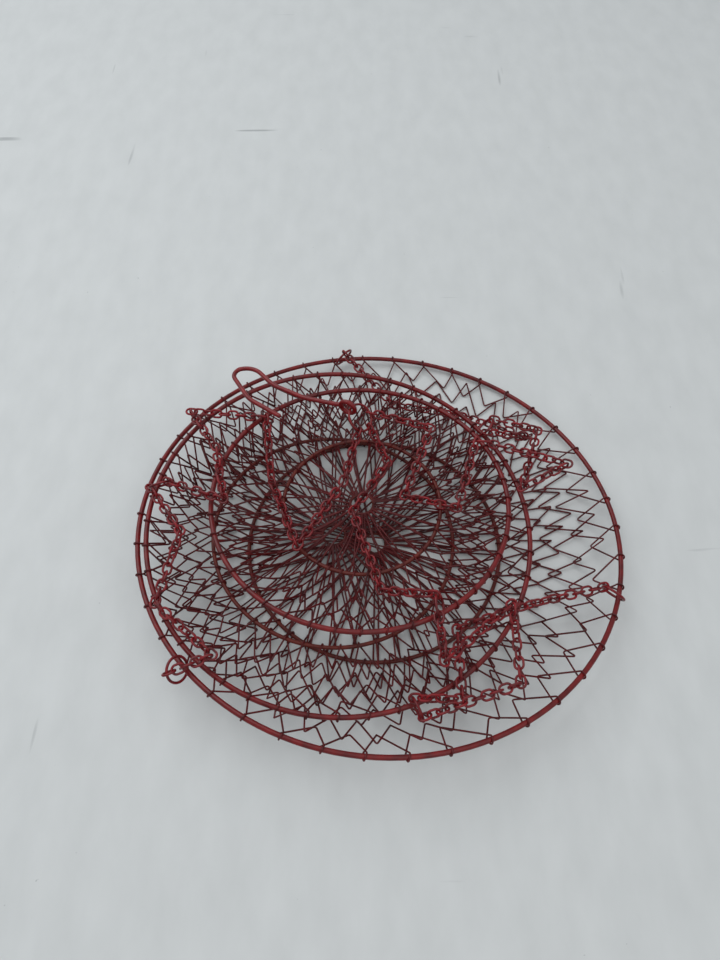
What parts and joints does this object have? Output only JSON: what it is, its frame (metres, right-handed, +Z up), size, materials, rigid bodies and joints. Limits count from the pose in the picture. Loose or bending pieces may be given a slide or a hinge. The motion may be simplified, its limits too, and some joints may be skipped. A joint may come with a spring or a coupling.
{
  "type": "three-tier hanging wire basket",
  "caption": "Hanging storage basket of painted steel wire: collapsible wire mesh bowls on chains under a hook, lying folded flat on a table",
  "frame": {"origin": "middle of the bottom tier's base ring, on the table under it", "axes": "+Z up from the table; +X to the right and +Y away, as seen from the side opposite the hook"},
  "size_m": [0.3077, 0.308, 0.0612],
  "materials": {
    "rim_wire": "smooth glossy dark red enamel over thick wire",
    "base_wire": "worn brownish red enamel, a little duller",
    "mesh_wire": "satin dark red enamel over thin crimped wire",
    "ring_wire": "glossy dark red enamel",
    "chain_wire": "glossy dark red enamel over small oval links",
    "hook_wire": "glossy red enamel over thick bent wire"
  },
  "bodies": {
    "bottom_base": {"bottom_base_ring": "base_wire", "bottom_floor_mesh": "mesh_wire"},
    "bottom_rim": {"bottom_rim": "rim_wire", "bottom_wall_mesh": "mesh_wire"},
    "middle_base": {"middle_base_ring": "base_wire"},
    "middle_floor": {"middle_floor_mesh": "mesh_wire"},
    "middle_rim": {"middle_rim": "rim_wire", "middle_wall_mesh": "mesh_wire"},
    "top_base": {"top_base_ring": "base_wire"},
    "top_floor": {"top_floor_mesh": "mesh_wire"},
    "top_rim": {"top_rim": "rim_wire", "top_wall_mesh": "mesh_wire"},
    "hanger": {"hanger_ring": "hook_wire"},
    "hook": {"hook": "hook_wire"},
    "bottom_ring_1": {"bottom_ring_1": "ring_wire"},
    "bottom_ring_2": {"bottom_ring_2": "ring_wire"},
    "bottom_ring_3": {"bottom_ring_3": "ring_wire"},
    "middle_ring_1": {"middle_ring_1": "ring_wire"},
    "middle_ring_2": {"middle_ring_2": "ring_wire"},
    "middle_ring_3": {"middle_ring_3": "ring_wire"},
    "top_ring_1": {"top_ring_1": "ring_wire"},
    "top_ring_2": {"top_ring_2": "ring_wire"},
    "top_ring_3": {"top_ring_3": "ring_wire"},
    "lower_chain_1_run_1": {"lower_chain_1_run_1": "chain_wire"},
    "lower_chain_1_run_2": {"lower_chain_1_run_2": "chain_wire"},
    "lower_chain_1_run_3": {"lower_chain_1_run_3": "chain_wire"},
    "lower_chain_1_run_4": {"lower_chain_1_run_4": "chain_wire"},
    "lower_chain_2_run_1": {"lower_chain_2_run_1": "chain_wire"},
    "lower_chain_2_run_2": {"lower_chain_2_run_2": "chain_wire"},
    "lower_chain_2_run_3": {"lower_chain_2_run_3": "chain_wire"},
    "lower_chain_2_run_4": {"lower_chain_2_run_4": "chain_wire"},
    "lower_chain_3_run_1": {"lower_chain_3_run_1": "chain_wire"},
    "lower_chain_3_run_2": {"lower_chain_3_run_2": "chain_wire"},
    "lower_chain_3_run_3": {"lower_chain_3_run_3": "chain_wire"},
    "lower_chain_3_run_4": {"lower_chain_3_run_4": "chain_wire"},
    "upper_chain_1_run_1": {"upper_chain_1_run_1": "chain_wire"},
    "upper_chain_1_run_2": {"upper_chain_1_run_2": "chain_wire"},
    "upper_chain_1_run_3": {"upper_chain_1_run_3": "chain_wire"},
    "upper_chain_1_run_4": {"upper_chain_1_run_4": "chain_wire"},
    "upper_chain_2_run_1": {"upper_chain_2_run_1": "chain_wire"},
    "upper_chain_2_run_2": {"upper_chain_2_run_2": "chain_wire"},
    "upper_chain_2_run_3": {"upper_chain_2_run_3": "chain_wire"},
    "upper_chain_2_run_4": {"upper_chain_2_run_4": "chain_wire"},
    "upper_chain_3_run_1": {"upper_chain_3_run_1": "chain_wire"},
    "upper_chain_3_run_2": {"upper_chain_3_run_2": "chain_wire"},
    "upper_chain_3_run_3": {"upper_chain_3_run_3": "chain_wire"},
    "upper_chain_3_run_4": {"upper_chain_3_run_4": "chain_wire"},
    "hanger_chain_1_run_1": {"hanger_chain_1_run_1": "chain_wire"},
    "hanger_chain_1_run_2": {"hanger_chain_1_run_2": "chain_wire"},
    "hanger_chain_1_run_3": {"hanger_chain_1_run_3": "chain_wire"},
    "hanger_chain_1_run_4": {"hanger_chain_1_run_4": "chain_wire"},
    "hanger_chain_2_run_1": {"hanger_chain_2_run_1": "chain_wire"},
    "hanger_chain_2_run_2": {"hanger_chain_2_run_2": "chain_wire"},
    "hanger_chain_2_run_3": {"hanger_chain_2_run_3": "chain_wire"},
    "hanger_chain_2_run_4": {"hanger_chain_2_run_4": "chain_wire"},
    "hanger_chain_3_run_1": {"hanger_chain_3_run_1": "chain_wire"},
    "hanger_chain_3_run_2": {"hanger_chain_3_run_2": "chain_wire"},
    "hanger_chain_3_run_3": {"hanger_chain_3_run_3": "chain_wire"},
    "hanger_chain_3_run_4": {"hanger_chain_3_run_4": "chain_wire"}
  },
  "joints": [
    {"name": "bottom_open", "type": "slide", "parent": "bottom_base", "child": "bottom_rim", "axis": [0, 0, 1], "range_m": [0, 0.06], "deforming": ["bottom_wall_mesh"]},
    {"name": "middle_lift", "type": "slide", "parent": "bottom_rim", "child": "middle_base", "axis": [0.1746, 0.0362, 0.984], "range_m": [0, 0.11453]},
    {"name": "middle_turn", "type": "hinge", "parent": "middle_base", "child": "middle_floor", "pos_m": [-0.026, 0.0025, 0.0082], "axis": [0.0599, 0, 0.9982], "range_deg": [0, 55.6]},
    {"name": "middle_open", "type": "slide", "parent": "middle_floor", "child": "middle_rim", "axis": [0.0599, 0, 0.9982], "range_m": [0, 0.055], "deforming": ["middle_wall_mesh"]},
    {"name": "top_lift", "type": "slide", "parent": "middle_rim", "child": "top_base", "axis": [-0.113, -0.1047, 0.9881], "range_m": [0, 0.12377]},
    {"name": "top_turn", "type": "hinge", "parent": "top_base", "child": "top_floor", "pos_m": [-0.008, 0.019, 0.0193], "axis": [0, 0, 1], "range_deg": [0, 10]},
    {"name": "top_open", "type": "slide", "parent": "top_floor", "child": "top_rim", "axis": [0, 0, 1], "range_m": [0, 0.045], "deforming": ["top_wall_mesh"]},
    {"name": "hanger_lift", "type": "slide", "parent": "top_rim", "child": "hanger", "axis": [0, -0.3421, 0.9397], "range_m": [0, 0.16517]},
    {"name": "hook_tilt", "type": "hinge", "parent": "hanger", "child": "hook", "pos_m": [-0.01511, 0.06998, 0.05491], "axis": [0.4384, 0.8988, 0], "range_deg": [0, 94]},
    {"name": "bottom_ring_1_turn", "type": "hinge", "parent": "bottom_rim", "child": "bottom_ring_1", "pos_m": [0.14763, -0.04608, 0.01647], "axis": [-0.3416, -0.9346, 0.0993], "range_deg": [-58, 0]},
    {"name": "bottom_ring_2_turn", "type": "hinge", "parent": "bottom_rim", "child": "bottom_ring_2", "pos_m": [-0.02195, 0.15622, 0.00715], "axis": [0.9836, 0.1687, -0.064], "range_deg": [-25, 0]},
    {"name": "bottom_ring_3_turn", "type": "hinge", "parent": "bottom_rim", "child": "bottom_ring_3", "pos_m": [-0.10689, -0.09662, 0.03364], "axis": [-0.6812, 0.7315, -0.0303], "range_deg": [0, 60]},
    {"name": "middle_ring_1_turn", "type": "hinge", "parent": "middle_rim", "child": "middle_ring_1", "pos_m": [0.02109, -0.11331, 0.02082], "axis": [-0.9325, -0.3603, 0.0259], "range_deg": [0, 55]},
    {"name": "middle_ring_2_turn", "type": "hinge", "parent": "middle_rim", "child": "middle_ring_2", "pos_m": [0.07216, 0.0709, 0.02845], "axis": [0.6149, -0.7852, -0.0733], "range_deg": [0, 55]},
    {"name": "middle_ring_3_turn", "type": "hinge", "parent": "middle_rim", "child": "middle_ring_3", "pos_m": [-0.13776, 0.02189, 0.03604], "axis": [0.2077, 0.9772, 0.0436], "range_deg": [-40, 0]},
    {"name": "top_ring_1_turn", "type": "hinge", "parent": "top_rim", "child": "top_ring_1", "pos_m": [0.03699, -0.06909, 0.04426], "axis": [-0.8658, -0.498, 0.0489], "range_deg": [-40, 0]},
    {"name": "top_ring_2_turn", "type": "hinge", "parent": "top_rim", "child": "top_ring_2", "pos_m": [0.07221, 0.05351, 0.03613], "axis": [0.4694, -0.882, 0.0426], "range_deg": [-40, 0]},
    {"name": "top_ring_3_turn", "type": "hinge", "parent": "top_rim", "child": "top_ring_3", "pos_m": [-0.07627, 0.07322, 0.03822], "axis": [0.6818, 0.7291, -0.0587], "range_deg": [-40, 0]},
    {"name": "lower_chain_1_run_1_bend", "type": "hinge", "parent": "bottom_ring_1", "child": "lower_chain_1_run_1", "pos_m": [0.13858, -0.0421, 0.02283], "axis": [-0.1783, 0.3508, -0.9193], "range_deg": [0, 37.5], "deforming": ["lower_chain_1_run_1"]},
    {"name": "lower_chain_1_run_2_bend", "type": "hinge", "parent": "lower_chain_1_run_1", "child": "lower_chain_1_run_2", "pos_m": [0.09202, -0.05527, 0.02684], "axis": [-0.2795, 0.8566, -0.4338], "range_deg": [0, 6.42], "deforming": ["lower_chain_1_run_2"]},
    {"name": "lower_chain_1_run_3_bend", "type": "hinge", "parent": "lower_chain_1_run_2", "child": "lower_chain_1_run_3", "pos_m": [0.04695, -0.07041, 0.02597], "axis": [0.0198, -0.0017, -0.9998], "range_deg": [0, 71.71], "deforming": ["lower_chain_1_run_3"]},
    {"name": "lower_chain_1_run_4_bend", "type": "hinge", "parent": "lower_chain_1_run_3", "child": "lower_chain_1_run_4", "pos_m": [0.04715, -0.11197, 0.02605], "axis": [0.0768, 0.0022, 0.997], "range_deg": [0, 89.41], "deforming": ["lower_chain_1_run_4"]},
    {"name": "lower_chain_2_run_1_bend", "type": "hinge", "parent": "bottom_ring_2", "child": "lower_chain_2_run_1", "pos_m": [-0.02056, 0.15228, 0.01813], "axis": [-0.7707, -0.5831, -0.2571], "range_deg": [0, 62.09], "deforming": ["lower_chain_2_run_1"]},
    {"name": "lower_chain_2_run_2_bend", "type": "hinge", "parent": "lower_chain_2_run_1", "child": "lower_chain_2_run_2", "pos_m": [0.01459, 0.1088, 0.01139], "axis": [0.07, 0.2078, -0.9757], "range_deg": [0, 38.48], "deforming": ["lower_chain_2_run_2"]},
    {"name": "lower_chain_2_run_3_bend", "type": "hinge", "parent": "lower_chain_2_run_2", "child": "lower_chain_2_run_3", "pos_m": [0.06657, 0.09647, 0.01249], "axis": [0.1058, 0.5219, 0.8464], "range_deg": [0, 24.86], "deforming": ["lower_chain_2_run_3"]},
    {"name": "lower_chain_2_run_4_bend", "type": "hinge", "parent": "lower_chain_2_run_3", "child": "lower_chain_2_run_4", "pos_m": [0.10503, 0.06966, 0.02421], "axis": [0.1865, 0.6058, 0.7734], "range_deg": [0, 128.81], "deforming": ["lower_chain_2_run_4"]},
    {"name": "lower_chain_3_run_1_bend", "type": "hinge", "parent": "bottom_ring_3", "child": "lower_chain_3_run_1", "pos_m": [-0.11403, -0.10298, 0.04047], "axis": [0.3635, -0.8249, -0.4329], "range_deg": [0, 136.23], "deforming": ["lower_chain_3_run_1"]},
    {"name": "lower_chain_3_run_2_bend", "type": "hinge", "parent": "lower_chain_3_run_1", "child": "lower_chain_3_run_2", "pos_m": [-0.09046, -0.09235, 0.03999], "axis": [-0.0331, 0.0284, -0.999], "range_deg": [0, 115.54], "deforming": ["lower_chain_3_run_2"]},
    {"name": "lower_chain_3_run_3_bend", "type": "hinge", "parent": "lower_chain_3_run_2", "child": "lower_chain_3_run_3", "pos_m": [-0.12598, -0.06235, 0.04202], "axis": [0.0172, -0.0473, 0.9987], "range_deg": [0, 61.09], "deforming": ["lower_chain_3_run_3"]},
    {"name": "lower_chain_3_run_4_bend", "type": "hinge", "parent": "lower_chain_3_run_3", "child": "lower_chain_3_run_4", "pos_m": [-0.11669, -0.01606, 0.04405], "axis": [0.1314, 0.0172, -0.9912], "range_deg": [0, 47.14], "deforming": ["lower_chain_3_run_4"]},
    {"name": "upper_chain_1_run_1_bend", "type": "hinge", "parent": "middle_ring_1", "child": "upper_chain_1_run_1", "pos_m": [0.02487, -0.12265, 0.02688], "axis": [0.3315, -0.5893, -0.7368], "range_deg": [0, 69.52], "deforming": ["upper_chain_1_run_1"]},
    {"name": "upper_chain_1_run_2_bend", "type": "hinge", "parent": "upper_chain_1_run_1", "child": "upper_chain_1_run_2", "pos_m": [0.07778, -0.10801, 0.03897], "axis": [0.2055, 0.0641, -0.9766], "range_deg": [0, 74.09], "deforming": ["upper_chain_1_run_2"]},
    {"name": "upper_chain_1_run_3_bend", "type": "hinge", "parent": "upper_chain_1_run_2", "child": "upper_chain_1_run_3", "pos_m": [0.07779, -0.06216, 0.04198], "axis": [-0.2425, 0.0637, -0.968], "range_deg": [0, 130.8], "deforming": ["upper_chain_1_run_3"]},
    {"name": "upper_chain_1_run_4_bend", "type": "hinge", "parent": "upper_chain_1_run_3", "child": "upper_chain_1_run_4", "pos_m": [0.03598, -0.09994, 0.04997], "axis": [0.1809, 0.0078, 0.9835], "range_deg": [0, 128.29], "deforming": ["upper_chain_1_run_4"]},
    {"name": "upper_chain_2_run_1_bend", "type": "hinge", "parent": "middle_ring_2", "child": "upper_chain_2_run_1", "pos_m": [0.08007, 0.07647, 0.03513], "axis": [-0.2833, -0.6656, 0.6904], "range_deg": [0, 64.35], "deforming": ["upper_chain_2_run_1"]},
    {"name": "upper_chain_2_run_2_bend", "type": "hinge", "parent": "upper_chain_2_run_1", "child": "upper_chain_2_run_2", "pos_m": [0.10887, 0.06615, 0.03699], "axis": [-0.0205, 0.1222, 0.9923], "range_deg": [0, 88.95], "deforming": ["upper_chain_2_run_2"]},
    {"name": "upper_chain_2_run_3_bend", "type": "hinge", "parent": "upper_chain_2_run_2", "child": "upper_chain_2_run_3", "pos_m": [0.0915, 0.01582, 0.04283], "axis": [0.4509, -0.2549, -0.8554], "range_deg": [0, 123.25], "deforming": ["upper_chain_2_run_3"]},
    {"name": "upper_chain_2_run_4_bend", "type": "hinge", "parent": "upper_chain_2_run_3", "child": "upper_chain_2_run_4", "pos_m": [0.1194, 0.02619, 0.05445], "axis": [0.3446, 0.1165, -0.9315], "range_deg": [0, 131.72], "deforming": ["upper_chain_2_run_4"]},
    {"name": "upper_chain_3_run_1_bend", "type": "hinge", "parent": "middle_ring_3", "child": "upper_chain_3_run_1", "pos_m": [-0.12994, 0.01985, 0.04457], "axis": [-0.4436, -0.6874, 0.5751], "range_deg": [0, 39.73], "deforming": ["upper_chain_3_run_1"]},
    {"name": "upper_chain_3_run_2_bend", "type": "hinge", "parent": "upper_chain_3_run_1", "child": "upper_chain_3_run_2", "pos_m": [-0.09148, 0.00138, 0.05215], "axis": [0.1539, -0.0838, -0.9845], "range_deg": [0, 128.63], "deforming": ["upper_chain_3_run_2"]},
    {"name": "upper_chain_3_run_3_bend", "type": "hinge", "parent": "upper_chain_3_run_2", "child": "upper_chain_3_run_3", "pos_m": [-0.10091, 0.04396, 0.04706], "axis": [-0.123, -0.1448, -0.9818], "range_deg": [0, 21.1], "deforming": ["upper_chain_3_run_3"]},
    {"name": "upper_chain_3_run_4_bend", "type": "hinge", "parent": "upper_chain_3_run_3", "child": "upper_chain_3_run_4", "pos_m": [-0.12156, 0.07533, 0.04502], "axis": [0.035, 0.0877, 0.9955], "range_deg": [0, 128], "deforming": ["upper_chain_3_run_4"]},
    {"name": "hanger_chain_1_run_1_bend", "type": "hinge", "parent": "top_ring_1", "child": "hanger_chain_1_run_1", "pos_m": [0.03341, -0.06202, 0.05294], "axis": [0.5086, 0.5587, -0.6551], "range_deg": [0, 59.4], "deforming": ["hanger_chain_1_run_1"]},
    {"name": "hanger_chain_1_run_2_bend", "type": "hinge", "parent": "hanger_chain_1_run_1", "child": "hanger_chain_1_run_2", "pos_m": [0.00313, -0.05187, 0.03807], "axis": [-0.4422, -0.006, 0.8969], "range_deg": [0, 55.61], "deforming": ["hanger_chain_1_run_2"]},
    {"name": "hanger_chain_1_run_3_bend", "type": "hinge", "parent": "hanger_chain_1_run_2", "child": "hanger_chain_1_run_3", "pos_m": [-0.01383, 0.00696, 0.0301], "axis": [-0.2015, 0.0742, 0.9767], "range_deg": [0, 49.38], "deforming": ["hanger_chain_1_run_3"]},
    {"name": "hanger_chain_1_run_4_bend", "type": "hinge", "parent": "hanger_chain_1_run_3", "child": "hanger_chain_1_run_4", "pos_m": [0.00898, 0.04294, 0.03208], "axis": [-0.3501, 0.2712, -0.8966], "range_deg": [0, 63.31], "deforming": ["hanger_chain_1_run_4"]},
    {"name": "hanger_chain_2_run_1_bend", "type": "hinge", "parent": "top_ring_2", "child": "hanger_chain_2_run_1", "pos_m": [0.06574, 0.05051, 0.04547], "axis": [-0.5479, 0.4085, -0.7301], "range_deg": [0, 57.18], "deforming": ["hanger_chain_2_run_1"]},
    {"name": "hanger_chain_2_run_2_bend", "type": "hinge", "parent": "hanger_chain_2_run_1", "child": "hanger_chain_2_run_2", "pos_m": [0.052, 0.008, 0.032], "axis": [-0.1693, -0.2476, 0.954], "range_deg": [0, 89.08], "deforming": ["hanger_chain_2_run_2"]},
    {"name": "hanger_chain_2_run_3_bend", "type": "hinge", "parent": "hanger_chain_2_run_2", "child": "hanger_chain_2_run_3", "pos_m": [0.019, 0.019, 0.029], "axis": [-0.1395, -0.1518, 0.9785], "range_deg": [0, 94.45], "deforming": ["hanger_chain_2_run_3"]},
    {"name": "hanger_chain_2_run_4_bend", "type": "hinge", "parent": "hanger_chain_2_run_3", "child": "hanger_chain_2_run_4", "pos_m": [0.038, 0.066, 0.039], "axis": [-0.1314, 0.2569, -0.9575], "range_deg": [0, 99.75], "deforming": ["hanger_chain_2_run_4"]},
    {"name": "hanger_chain_3_run_1_bend", "type": "hinge", "parent": "top_ring_3", "child": "hanger_chain_3_run_1", "pos_m": [-0.07055, 0.06861, 0.04739], "axis": [-0.6607, -0.316, 0.6809], "range_deg": [0, 51.06], "deforming": ["hanger_chain_3_run_1"]},
    {"name": "hanger_chain_3_run_2_bend", "type": "hinge", "parent": "hanger_chain_3_run_1", "child": "hanger_chain_3_run_2", "pos_m": [-0.06596, 0.02814, 0.03305], "axis": [0.656, 0.317, -0.685], "range_deg": [0, 20.75], "deforming": ["hanger_chain_3_run_2"]},
    {"name": "hanger_chain_3_run_3_bend", "type": "hinge", "parent": "hanger_chain_3_run_2", "child": "hanger_chain_3_run_3", "pos_m": [-0.04797, -0.01771, 0.02906], "axis": [0.0964, 0.1237, -0.9876], "range_deg": [0, 125.09], "deforming": ["hanger_chain_3_run_3"]},
    {"name": "hanger_chain_3_run_4_bend", "type": "hinge", "parent": "hanger_chain_3_run_3", "child": "hanger_chain_3_run_4", "pos_m": [-0.02002, 0.02413, 0.03703], "axis": [-0.2111, 0.3171, -0.9246], "range_deg": [0, 18.04], "deforming": ["hanger_chain_3_run_4"]}
  ],
  "couplings": [
    {"joint": "middle_turn", "follows": "middle_lift", "rad_per_m": 8.4726},
    {"joint": "middle_open", "follows": "middle_lift", "ratio": 0.48021},
    {"joint": "top_turn", "follows": "top_lift", "rad_per_m": 1.4101},
    {"joint": "top_open", "follows": "top_lift", "ratio": 0.36357},
    {"joint": "hook_tilt", "follows": "hanger_lift", "rad_per_m": 9.9329},
    {"joint": "bottom_ring_1_turn", "follows": "middle_lift", "rad_per_m": -8.8383},
    {"joint": "bottom_ring_2_turn", "follows": "middle_lift", "rad_per_m": -3.8096},
    {"joint": "bottom_ring_3_turn", "follows": "middle_lift", "rad_per_m": 9.1431},
    {"joint": "middle_ring_1_turn", "follows": "top_lift", "rad_per_m": 7.7555},
    {"joint": "middle_ring_2_turn", "follows": "top_lift", "rad_per_m": 7.7555},
    {"joint": "middle_ring_3_turn", "follows": "top_lift", "rad_per_m": -5.6404},
    {"joint": "top_ring_1_turn", "follows": "hanger_lift", "rad_per_m": -4.2268},
    {"joint": "top_ring_2_turn", "follows": "hanger_lift", "rad_per_m": -4.2268},
    {"joint": "top_ring_3_turn", "follows": "hanger_lift", "rad_per_m": -4.2268},
    {"joint": "lower_chain_1_run_1_bend", "follows": "middle_lift", "rad_per_m": 5.7147},
    {"joint": "lower_chain_1_run_2_bend", "follows": "middle_lift", "rad_per_m": 0.97775},
    {"joint": "lower_chain_1_run_3_bend", "follows": "middle_lift", "rad_per_m": 10.927},
    {"joint": "lower_chain_1_run_4_bend", "follows": "middle_lift", "rad_per_m": 13.624},
    {"joint": "lower_chain_2_run_1_bend", "follows": "middle_lift", "rad_per_m": 9.4623},
    {"joint": "lower_chain_2_run_2_bend", "follows": "middle_lift", "rad_per_m": 5.8637},
    {"joint": "lower_chain_2_run_3_bend", "follows": "middle_lift", "rad_per_m": 3.789},
    {"joint": "lower_chain_2_run_4_bend", "follows": "middle_lift", "rad_per_m": 19.628},
    {"joint": "lower_chain_3_run_1_bend", "follows": "middle_lift", "rad_per_m": 20.76},
    {"joint": "lower_chain_3_run_2_bend", "follows": "middle_lift", "rad_per_m": 17.607},
    {"joint": "lower_chain_3_run_3_bend", "follows": "middle_lift", "rad_per_m": 9.3089},
    {"joint": "lower_chain_3_run_4_bend", "follows": "middle_lift", "rad_per_m": 7.1835},
    {"joint": "upper_chain_1_run_1_bend", "follows": "top_lift", "rad_per_m": 9.8026},
    {"joint": "upper_chain_1_run_2_bend", "follows": "top_lift", "rad_per_m": 10.447},
    {"joint": "upper_chain_1_run_3_bend", "follows": "top_lift", "rad_per_m": 18.443},
    {"joint": "upper_chain_1_run_4_bend", "follows": "top_lift", "rad_per_m": 18.09},
    {"joint": "upper_chain_2_run_1_bend", "follows": "top_lift", "rad_per_m": 9.0737},
    {"joint": "upper_chain_2_run_2_bend", "follows": "top_lift", "rad_per_m": 12.543},
    {"joint": "upper_chain_2_run_3_bend", "follows": "top_lift", "rad_per_m": 17.38},
    {"joint": "upper_chain_2_run_4_bend", "follows": "top_lift", "rad_per_m": 18.574},
    {"joint": "upper_chain_3_run_1_bend", "follows": "top_lift", "rad_per_m": 5.6026},
    {"joint": "upper_chain_3_run_2_bend", "follows": "top_lift", "rad_per_m": 18.138},
    {"joint": "upper_chain_3_run_3_bend", "follows": "top_lift", "rad_per_m": 2.9754},
    {"joint": "upper_chain_3_run_4_bend", "follows": "top_lift", "rad_per_m": 18.049},
    {"joint": "hanger_chain_1_run_1_bend", "follows": "hanger_lift", "rad_per_m": 6.2764},
    {"joint": "hanger_chain_1_run_2_bend", "follows": "hanger_lift", "rad_per_m": 5.876},
    {"joint": "hanger_chain_1_run_3_bend", "follows": "hanger_lift", "rad_per_m": 5.2183},
    {"joint": "hanger_chain_1_run_4_bend", "follows": "hanger_lift", "rad_per_m": 6.6902},
    {"joint": "hanger_chain_2_run_1_bend", "follows": "hanger_lift", "rad_per_m": 6.0425},
    {"joint": "hanger_chain_2_run_2_bend", "follows": "hanger_lift", "rad_per_m": 9.4127},
    {"joint": "hanger_chain_2_run_3_bend", "follows": "hanger_lift", "rad_per_m": 9.9805},
    {"joint": "hanger_chain_2_run_4_bend", "follows": "hanger_lift", "rad_per_m": 10.54},
    {"joint": "hanger_chain_3_run_1_bend", "follows": "hanger_lift", "rad_per_m": 5.3953},
    {"joint": "hanger_chain_3_run_2_bend", "follows": "hanger_lift", "rad_per_m": 2.1929},
    {"joint": "hanger_chain_3_run_3_bend", "follows": "hanger_lift", "rad_per_m": 13.218},
    {"joint": "hanger_chain_3_run_4_bend", "follows": "hanger_lift", "rad_per_m": 1.9059}
  ]
}
